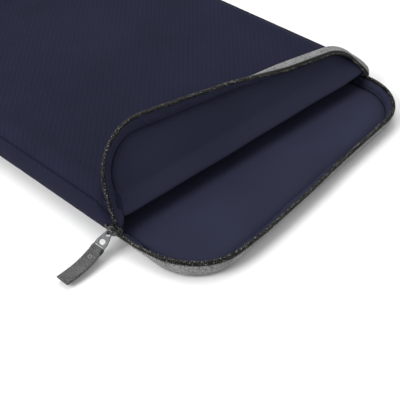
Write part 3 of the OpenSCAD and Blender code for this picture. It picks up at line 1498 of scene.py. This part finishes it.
@dataclass
class FoamSizes:
    """Sizes of the pads, and how full they are."""

    edge: float = 5.5 * MM
    gap: float = 0.4 * MM
    inner_gap: float = 0.9 * MM
    least: float = 0.8 * MM
    step: float = 5.0 * MM
    fine: float = 2.4 * MM
    ring_step: float = 2.5 * MM
    lip_end: float = 4.0 * MM
    panel_fill: float = 0.8
    edge_fill: float = 0.7


class Foam(Cloth):
    """The pads between skin and lining, each a closed solid that fills its layer."""

    def __init__(self, form: Form, finishes: Finishes, sizes: FoamSizes = FoamSizes()) -> None:
        """Keeps the sizes."""
        super().__init__(form, finishes)
        self.sizes = sizes

    def pad(self, half: Half) -> Surface:
        """A panel's pad: its faces follow the skin and the lining, a gap inside each.

        Args:
            half: which panel.

        Returns:
            The closed surface, shut.
        """
        f, k = self.form, self.sizes
        skin = OuterSkin(f, self.finishes)
        x, y = self.plate(f.hem_in + k.edge, k.step, k.fine)
        outer = f.level(half, skin.height_at(half, x, y)) - f.skin - k.gap
        inner = np.full_like(outer, f.height - f.wall + k.inner_gap)
        outer = np.maximum(outer, inner + k.least)
        both = np.concatenate([outer, inner[:, ::-1]], axis=1)
        xs = np.concatenate([x, x[:, ::-1]], axis=1)
        ys = np.concatenate([y, y[:, ::-1]], axis=1)
        points = np.stack([xs, ys, f.level(half, both)], axis=-1)
        return Surface(points, np.stack([xs, ys], axis=-1), closed=True)

    def lip(self, half: Half) -> Surface:
        """A lip's pad: a five-cornered profile behind the tape, carried round the mouth.

        Args:
            half: which lip.

        Returns:
            The closed surface, shut.
        """
        end = self.form.zip_s - self.sizes.lip_end
        inset = np.array([2.4, 5.2, 6.6, 5.6, 3.6]) * MM
        z = self.form.mid + np.array([5.6, 6.2, 9.0, 10.6, 8.6]) * MM
        s = spaced(-end, end, self.sizes.ring_step)
        return self.sweep(s, inset, self.form.level(half, z), closed=True)

    def band(self) -> Surface:
        """The side band's pad: a thin D-shaped profile, carried round the closed end.

        Returns:
            The closed surface, shut.
        """
        inset = np.array([5.6, 2.6, 2.0, 2.6, 5.6, 5.6, 5.2, 5.6]) * MM
        z = self.form.mid + np.array([8.5, 6.0, 0.0, -6.0, -8.5, -6.0, 0.0, 6.0]) * MM
        return self.sweep(self.form.behind(self.sizes.ring_step)[1], inset, z, closed=True)

    def build(self) -> None:
        """Makes the pads."""
        k, foam = self.sizes, self.finishes.foam
        panels = (
            (Half.UPPER, "upper_pad", ("upper_foam", "flap_foam")),
            (Half.LOWER, "lower_pad", ("lower_foam",)),
        )
        for half, name, nodes in panels:
            self.lay(half, self.pad(half), name, foam, nodes, half is Half.UPPER, fill=k.panel_fill)
        lips = (
            (Half.UPPER, "upper_lip_pad", ("upper_lip_foam_ends", "flap_lip_foam")),
            (Half.LOWER, "lower_lip_pad", ("lower_lip_foam",)),
        )
        for half, name, nodes in lips:
            self.lay(half, self.lip(half), name, foam, nodes, half is Half.LOWER, fill=k.edge_fill)
        self.lay(Half.UPPER, self.band(), "side_band_pad", foam, ("side_band_foam",), fill=k.edge_fill)


# ---------------------------------------------------------------- stitches


@dataclass
class StitchSizes:
    """Sizes of the lockstitch rows."""

    length: float = 2.1 * MM
    pitch: float = 2.9 * MM
    thick: float = 0.32 * MM
    sides: int = 6
    rings: int = 5
    end: float = 4.0 * MM


class Stitching(Cloth):
    """Rows of stitches along the seams: short rounded threads, sunk halfway into the cloth."""

    def __init__(self, form: Form, finishes: Finishes, sizes: StitchSizes = StitchSizes()) -> None:
        """Keeps the sizes."""
        super().__init__(form, finishes)
        self.sizes = sizes

    def row(self, s_from: float, s_to: float, inset: float, z: float) -> Surface:
        """One row of stitches along the outline.

        A stitch is a spindle: at t from -1 to 1 along it, its radius is thick times the root of 1 - t^4.

        Args:
            s_from, s_to: distances along the outline where the row starts and ends.
            inset: how far inside the outline the row lies.
            z: its height.

        Returns:
            A stack of closed grids, one a stitch.
        """
        k = self.sizes
        middles = spaced(s_from, s_to, k.pitch)[:, None, None]
        t = np.linspace(-1, 1, k.rings)[None, :, None]
        ring = np.linspace(0, 2 * math.pi, k.sides, endpoint=False)[None, None, :]
        radius = k.thick * np.sqrt(np.clip(1 - t**4, 0, 1))
        s = middles + t * k.length / 2 + 0 * ring
        x, y = self.form.outline.at(s, inset + radius * np.cos(ring) + 0 * s)
        height = z + radius * np.sin(ring) + 0 * s
        flat = np.stack([s, radius * ring + 0 * s], axis=-1)
        return Surface(np.stack([x, y, height], axis=-1), flat, closed=True, caps=False)

    def build(self) -> None:
        """Makes the rows on both lips' hems and along the tape's seams."""
        f, thread = self.form, self.finishes.thread_navy
        end = f.zip_s - self.sizes.end
        rows = (
            ("hem", f.hem_in + 0.3 * MM, f.ceiling + 0.1 * MM),
            ("seam", f.seam_in + 1.9 * MM, f.seam_z + 0.95 * MM),
        )
        for kind, inset, z in rows:
            for half in (Half.UPPER, Half.LOWER):
                surface = self.row(-end, end, inset, f.level(half, z))
                name = f"{half.name.lower()}_{kind}_stitches"
                self.lay(half, surface, name, thread, flip=True, weld=True, slot="lining_navy")


# ---------------------------------------------------------------- slider and pull


@dataclass
class SliderSizes:
    """Sizes of the slider, in its own frame: x inwards through the zip, y along it, z across it."""

    tilt: float = math.radians(-40)
    length: float = 12.0 * MM
    width: float = 8.8 * MM
    thick: float = 1.2 * MM
    inner_length: float = 8.0 * MM
    inner_width: float = 6.0 * MM
    inner_thick: float = 1.0 * MM
    flange: float = 0.9 * MM
    flange_deep: float = 2.2 * MM
    flange_length: float = 8.64 * MM
    flange_at: float = 1.2 * MM
    taper: float = 0.16
    arch: float = 4.35 * MM
    arch_rise: float = 3.4 * MM
    wire: float = 0.55 * MM


class Slider(Cloth):
    """The slider: domed outer plate with flanges, arched bridge, and the inner plate."""

    def __init__(self, form: Form, finishes: Finishes, sizes: SliderSizes = SliderSizes()) -> None:
        """Keeps the sizes, and finds the slider's place from its packed plates."""
        super().__init__(form, finishes)
        self.sizes = sizes
        low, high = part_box("slider_outer_plate")
        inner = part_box("slider_inner_plate")
        self.middle = np.array([0.0, (low[1] + high[1]) / 2, (low[2] + high[2]) / 2])
        self.outer_x = (low[0] + high[0]) / 2
        self.inner_x = (inner[0][0] + inner[1][0]) / 2

    def placed(self, x: np.ndarray, y: np.ndarray, z: np.ndarray) -> np.ndarray:
        """Moves points from the slider's own frame: y and z are turned about X by the tilt.

        Args:
            x, y, z: the points.

        Returns:
            The points in the model's frame.
        """
        c, d = math.cos(self.sizes.tilt), math.sin(self.sizes.tilt)
        x, y, z = np.broadcast_arrays(x, y, z)
        return np.stack([x, y * c - z * d, y * d + z * c], axis=-1) + self.middle

    def lozenge(
        self, x: float, length: float, width: float, thick: float, y: float = 0.0, z: float = 0.0
    ) -> Surface:
        """A flat metal part with rounded rim and corners, wider at its front.

        Its outline is a superellipse of power 0.55 in y and z. Its section goes from the middle of one face
        out to the rim, round it in a half circle, and back to the middle of the other face.

        Args:
            x: the middle of its thickness.
            length, width, thick: its sizes.
            y, z: its middle.

        Returns:
            A closed surface whose rows are rings, with a pole at each face's middle.
        """
        turn = np.linspace(0, 2 * math.pi, 48, endpoint=False)[None, :]
        c, d = np.cos(turn), np.sin(turn)
        across = np.sign(d) * np.abs(d) ** 0.55 * (1 - self.sizes.taper * np.sign(c) * np.abs(c) ** 0.55)
        along = np.sign(c) * np.abs(c) ** 0.55
        rim = np.linspace(-math.pi / 2, math.pi / 2, 9)
        r = thick / 2
        draw = np.concatenate([[0, 0.5, 0.85], np.ones(9), [0.85, 0.5, 0]])[:, None]
        bulge = np.concatenate([np.zeros(3), r * np.cos(rim), np.zeros(3)])[:, None]
        dome = r * np.array([1.1, 1.08, 1.02])
        level = np.concatenate([-dome, r * np.sin(rim), dome[::-1]])
        py = along * ((length / 2 - r) * draw + bulge)
        pz = across * ((width / 2 - r) * draw + bulge)
        points = self.placed(x + level[:, None], y + py, z + pz)
        return Surface(points, np.stack([py, pz], axis=-1), closed=True, caps=False)

    def arch(self) -> Surface:
        """The bridge: a round wire on a flat-topped arch, a superellipse of power 0.6 in x and y.

        Returns:
            The closed surface.
        """
        k = self.sizes
        t = np.linspace(-0.12, math.pi + 0.12, 41)[:, None]
        c, d = np.cos(t), np.sin(t)
        x = -k.arch_rise * np.sign(d) * np.abs(d) ** 0.6
        y = k.arch * np.sign(c) * np.abs(c) ** 0.6
        dx, dy = np.gradient(x[:, 0]), np.gradient(y[:, 0])
        size = np.hypot(dx, dy)
        ring = np.linspace(0, 2 * math.pi, 12, endpoint=False)[None, :]
        swing = k.wire * np.cos(ring)
        base = self.outer_x - 0.5 * k.thick
        px = base + x + swing * (-dy / size)[:, None]
        py = y + swing * (dx / size)[:, None]
        points = self.placed(px, py, k.wire * 1.05 * np.sin(ring) + 0 * px)
        return Surface(points, np.stack([0 * px + t, px], axis=-1), closed=True)

    def build(self) -> None:
        """Makes the slider's pieces."""
        k, metal = self.sizes, self.finishes.gunmetal
        plate = self.lozenge(self.outer_x, k.length, k.width, k.thick)
        self.finish(solid(plate, "slider_body"), metal, ("slider_outer_plate",), Body.SLIDER)
        for name, side in (("upper", 1), ("lower", -1)):
            z = side * (k.width - k.flange) / 2
            x = self.outer_x + k.flange_deep / 2
            rail = self.lozenge(x, k.flange_length, k.flange, k.flange_deep, k.flange_at, z)
            self.finish(solid(rail, f"slider_{name}_flange"), metal, (), Body.SLIDER)
        inner = self.lozenge(self.inner_x, k.inner_length, k.inner_width, k.inner_thick)
        self.finish(solid(inner, "slider_inner_body"), metal, ("slider_inner_plate",), Body.SLIDER)
        self.finish(solid(self.arch(), "slider_arch"), metal, ("slider_bridge",), Body.SLIDER)


def solid(surface: Surface, name: str) -> bpy.types.Object:
    """Makes a closed surface a piece whose faces all point outwards.

    Args:
        surface: the closed surface.
        name: the piece's name.

    Returns:
        The piece.
    """
    piece = surface.mesh(name)
    welded(piece.data, outwards=True)
    return piece


@dataclass
class PullSizes:
    """Sizes of the pull."""

    droop: float = math.radians(7.5)
    length: float = 36.0 * MM
    width: float = 11.0 * MM
    neck: float = 9.6 * MM
    layer: float = 0.95 * MM
    loop: float = 2.0 * MM
    bow: float = 1.8 * MM
    rib: float = 1.9 * MM
    rib_deep: float = 0.14 * MM
    tack_at: float = 8.5 * MM
    tack: float = 1.35 * MM
    tack_wire: float = 0.4 * MM
    edge: float = 0.28 * MM


class Pull(Cloth):
    """The metal pull plate and the folded webbing tab on it."""

    def __init__(self, form: Form, finishes: Finishes, joint: dict, sizes: PullSizes = PullSizes()) -> None:
        """Keeps the sizes and the middle of the bar that the webbing goes round."""
        super().__init__(form, finishes)
        self.sizes = sizes
        self.bar = np.array(joint["pos_m"], float)

    def placed(self, along: np.ndarray, y: np.ndarray, up: np.ndarray) -> np.ndarray:
        """Moves points from the tab's own frame, which droops and bows sideways in a half sine.

        Args:
            along: distances from the bar towards the tip.
            y: distances across the tab.
            up: distances out of its upper face.

        Returns:
            The points in the model's frame.
        """
        k = self.sizes
        c, d = math.cos(k.droop), math.sin(k.droop)
        bow = -k.bow * np.sin(np.clip(along / k.length, 0, 1) * math.pi)
        x, y, z = np.broadcast_arrays(-along * c - up * d, y + bow, up * c - along * d)
        return np.stack([x, y, z], axis=-1) + self.bar

    def webbing(self) -> Surface:
        """The webbing, from its lower tip round the plate's bar to its upper tip.

        Its middle line lies half a layer below the tab's middle plane, opens into a half circle round the
        bar, and comes back half a layer above it. Ribs are a sine of the length, and both edges stand a
        little proud. The width grows from the neck to the full width in the first few millimetres.

        Returns:
            The webbing's middle surface.
        """
        k = self.sizes
        arc = k.loop * math.pi
        t = spaced(-k.length - arc / 2, k.length + arc / 2, 0.15 * MM)[:, None]
        run = np.clip(np.abs(t) - arc / 2, 0, None)
        turn = np.clip(t / k.loop, -math.pi / 2, math.pi / 2)
        flat_up = (0.5 * k.layer + 0.03 * MM) * np.sign(t)
        close = smooth(run / (5 * MM))
        up = k.loop * np.sin(turn) * (1 - close) + flat_up * close
        along = run - k.loop * np.cos(turn)
        rib = k.rib_deep * np.sin(2 * math.pi * t / k.rib)
        v = np.linspace(-1, 1, 15)[None, :]
        width = k.neck + (k.width - k.neck) * smooth(run / (6 * MM))
        width = width + 0.12 * MM * np.sin(2 * math.pi * t / k.rib)
        side = np.where(t > 0, 1.0, -1.0)
        lift = (rib + 0.1 * MM * np.abs(v) ** 6) * side
        points = self.placed(along + 0 * v, v * width / 2, up + lift)
        return Surface(points, np.stack([t + 0 * v, v * width / 2], axis=-1))

    def tack(self) -> Surface:
        """The round spot of stitches: a torus whose tube swells and thins nine times round.

        Returns:
            The closed surface.
        """
        k = self.sizes
        a = np.linspace(0, 2 * math.pi, 28, endpoint=False)[:, None]
        a = np.concatenate([a, a[:1] + 2 * math.pi])
        b = np.linspace(0, 2 * math.pi, 8, endpoint=False)[None, :]
        r = k.tack + k.tack_wire * (0.95 + 0.175 * np.sin(9 * a)) * np.cos(b)
        up = k.layer + 0.05 * MM + 0.3 * MM * np.sin(b)
        points = self.placed(k.tack_at + r * np.cos(a), r * np.sin(a), up + 0 * a)
        flat = np.stack([a * k.tack + 0 * b, b * k.tack_wire + 0 * a], axis=-1)
        return Surface(points, flat, closed=True, caps=False)

    def plate(self, node: bpy.types.Object) -> bpy.types.Object:
        """The plate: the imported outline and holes, merged, with every edge rounded.

        Args:
            node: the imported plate, which stays as it is.

        Returns:
            The new piece.
        """
        mesh = node.data.copy()
        mesh.name = "pull_plate_body"
        mesh.materials.clear()
        welded(mesh, outwards=True)
        piece = bpy.data.objects.new("pull_plate_body", mesh)
        bpy.context.scene.collection.objects.link(piece)
        edge = piece.modifiers.new("edge", "BEVEL")
        edge.width = self.sizes.edge
        edge.segments = 3
        edge.angle_limit = math.radians(50)
        return piece

    def build(self, nodes: dict[str, bpy.types.Object]) -> None:
        """Makes the pull's pieces.

        Args:
            nodes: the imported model's objects, by name.
        """
        self.finish(self.plate(nodes["pull_plate"]), self.finishes.plate, ("pull_plate",), Body.PLATE)
        web = self.webbing().mesh("webbing_tab")
        thicken(web, self.sizes.layer, 0.0)
        self.finish(web, self.finishes.webbing, ("pull_tab",), Body.TAB)
        self.finish(solid(self.tack(), "tab_tack"), self.finishes.thread, ("pull_tab_tack",), Body.TAB)


class Hardware(Cloth):
    """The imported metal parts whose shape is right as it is: they only get their finish."""

    def build(self, nodes: dict[str, bpy.types.Object]) -> None:
        """Gives the post and the end stops their metal.

        Args:
            nodes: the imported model's objects, by name.
        """
        for name in ("slider_post", "zip_end_stops"):
            nodes[name].data.materials.clear()
            nodes[name].data.materials.append(self.finishes.gunmetal)
            LOG.info("%s dressed", name)


# ---------------------------------------------------------------- camera and light


@dataclass(frozen=True)
class Studio:
    """A pale floor, soft light, and a camera that looks down across the mouth's left corner."""

    eye: tuple[float, float, float] = (-0.4084, -0.4321, 0.4442)
    turn: float = math.radians(48.8)
    dip: float = math.radians(44.6)
    lens: float = 70.4
    floor: float = 40.0
    sky: float = 0.45

    def camera(self) -> None:
        """Makes the camera: its sight line is turned from +Y towards +X and dipped below level."""
        level = Vector((math.sin(self.turn), math.cos(self.turn), 0))
        sight = level * math.cos(self.dip) - Vector((0, 0, 1)) * math.sin(self.dip)
        right = level.cross(Vector((0, 0, 1)))
        up = right.cross(sight)
        data = bpy.data.cameras.new("camera")
        data.lens = self.lens
        data.sensor_width = 36
        data.clip_end = 60
        made = bpy.data.objects.new("camera", data)
        bpy.context.scene.collection.objects.link(made)
        turned = Matrix((right, up, -sight)).transposed().to_4x4()
        made.matrix_world = Matrix.Translation(Vector(self.eye)) @ turned
        bpy.context.scene.camera = made

    def lights(self) -> None:
        """Makes the softboxes: each is (name, place, width, power), aimed at the sleeve."""
        boxes = (
            ("overhead", (0.45, 0.5, 1.6), 1.4, 18.0),
            ("left", (-1.3, 0.4, 1.2), 0.9, 22.0),
            ("front", (0.5, -1.7, 0.8), 1.1, 4.0),
        )
        for name, place, width, power in boxes:
            data = bpy.data.lights.new(name, "AREA")
            data.shape = "SQUARE"
            data.size = width
            data.energy = power
            made = bpy.data.objects.new(name, data)
            bpy.context.scene.collection.objects.link(made)
            aim = Vector((0, -0.05, 0)) - Vector(place)
            made.rotation_euler = aim.to_track_quat("-Z", "Y").to_euler()
            made.location = place

    def surroundings(self) -> None:
        """Makes the floor and the white world."""
        world = bpy.data.worlds.new("white")
        world.use_nodes = True
        world.node_tree.nodes["Background"].inputs["Color"].default_value = (1, 1, 1, 1)
        world.node_tree.nodes["Background"].inputs["Strength"].default_value = self.sky
        bpy.context.scene.world = world
        side = np.linspace(-self.floor / 2, self.floor / 2, 3)
        x, y = np.meshgrid(side, side, indexing="ij")
        points = np.stack([x, y, np.full_like(x, -0.05 * MM)], axis=-1)
        floor = Surface(points, np.stack([x, y], axis=-1)).mesh("floor")
        s = Shader("floor_white")
        s.dress(Base_Color=(0.93, 0.93, 0.93, 1), Roughness=0.9, Specular_IOR_Level=0.1)
        floor.data.materials.append(s.material)

    def build(self) -> None:
        """Makes all of it, and shows colours as they are, with no film curve."""
        bpy.context.scene.view_settings.view_transform = "Standard"
        self.camera()
        self.lights()
        self.surroundings()


def main() -> None:
    """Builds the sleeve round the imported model."""
    logging.basicConfig(level=logging.INFO, format="%(name)s: %(message)s")
    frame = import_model()
    Studio().build()
    form, finishes = Form.of(frame), Finishes()
    OuterSkin(form, finishes).build()
    Zip(form, finishes).build()
    Lining(form, finishes).build()
    Foam(form, finishes).build()
    Stitching(form, finishes).build()
    Slider(form, finishes).build()
    Pull(form, finishes, joints_of(frame)["tab_fold"]).build(frame["nodes"])
    Hardware(form, finishes).build(frame["nodes"])


if __name__ == "__main__":
    main()
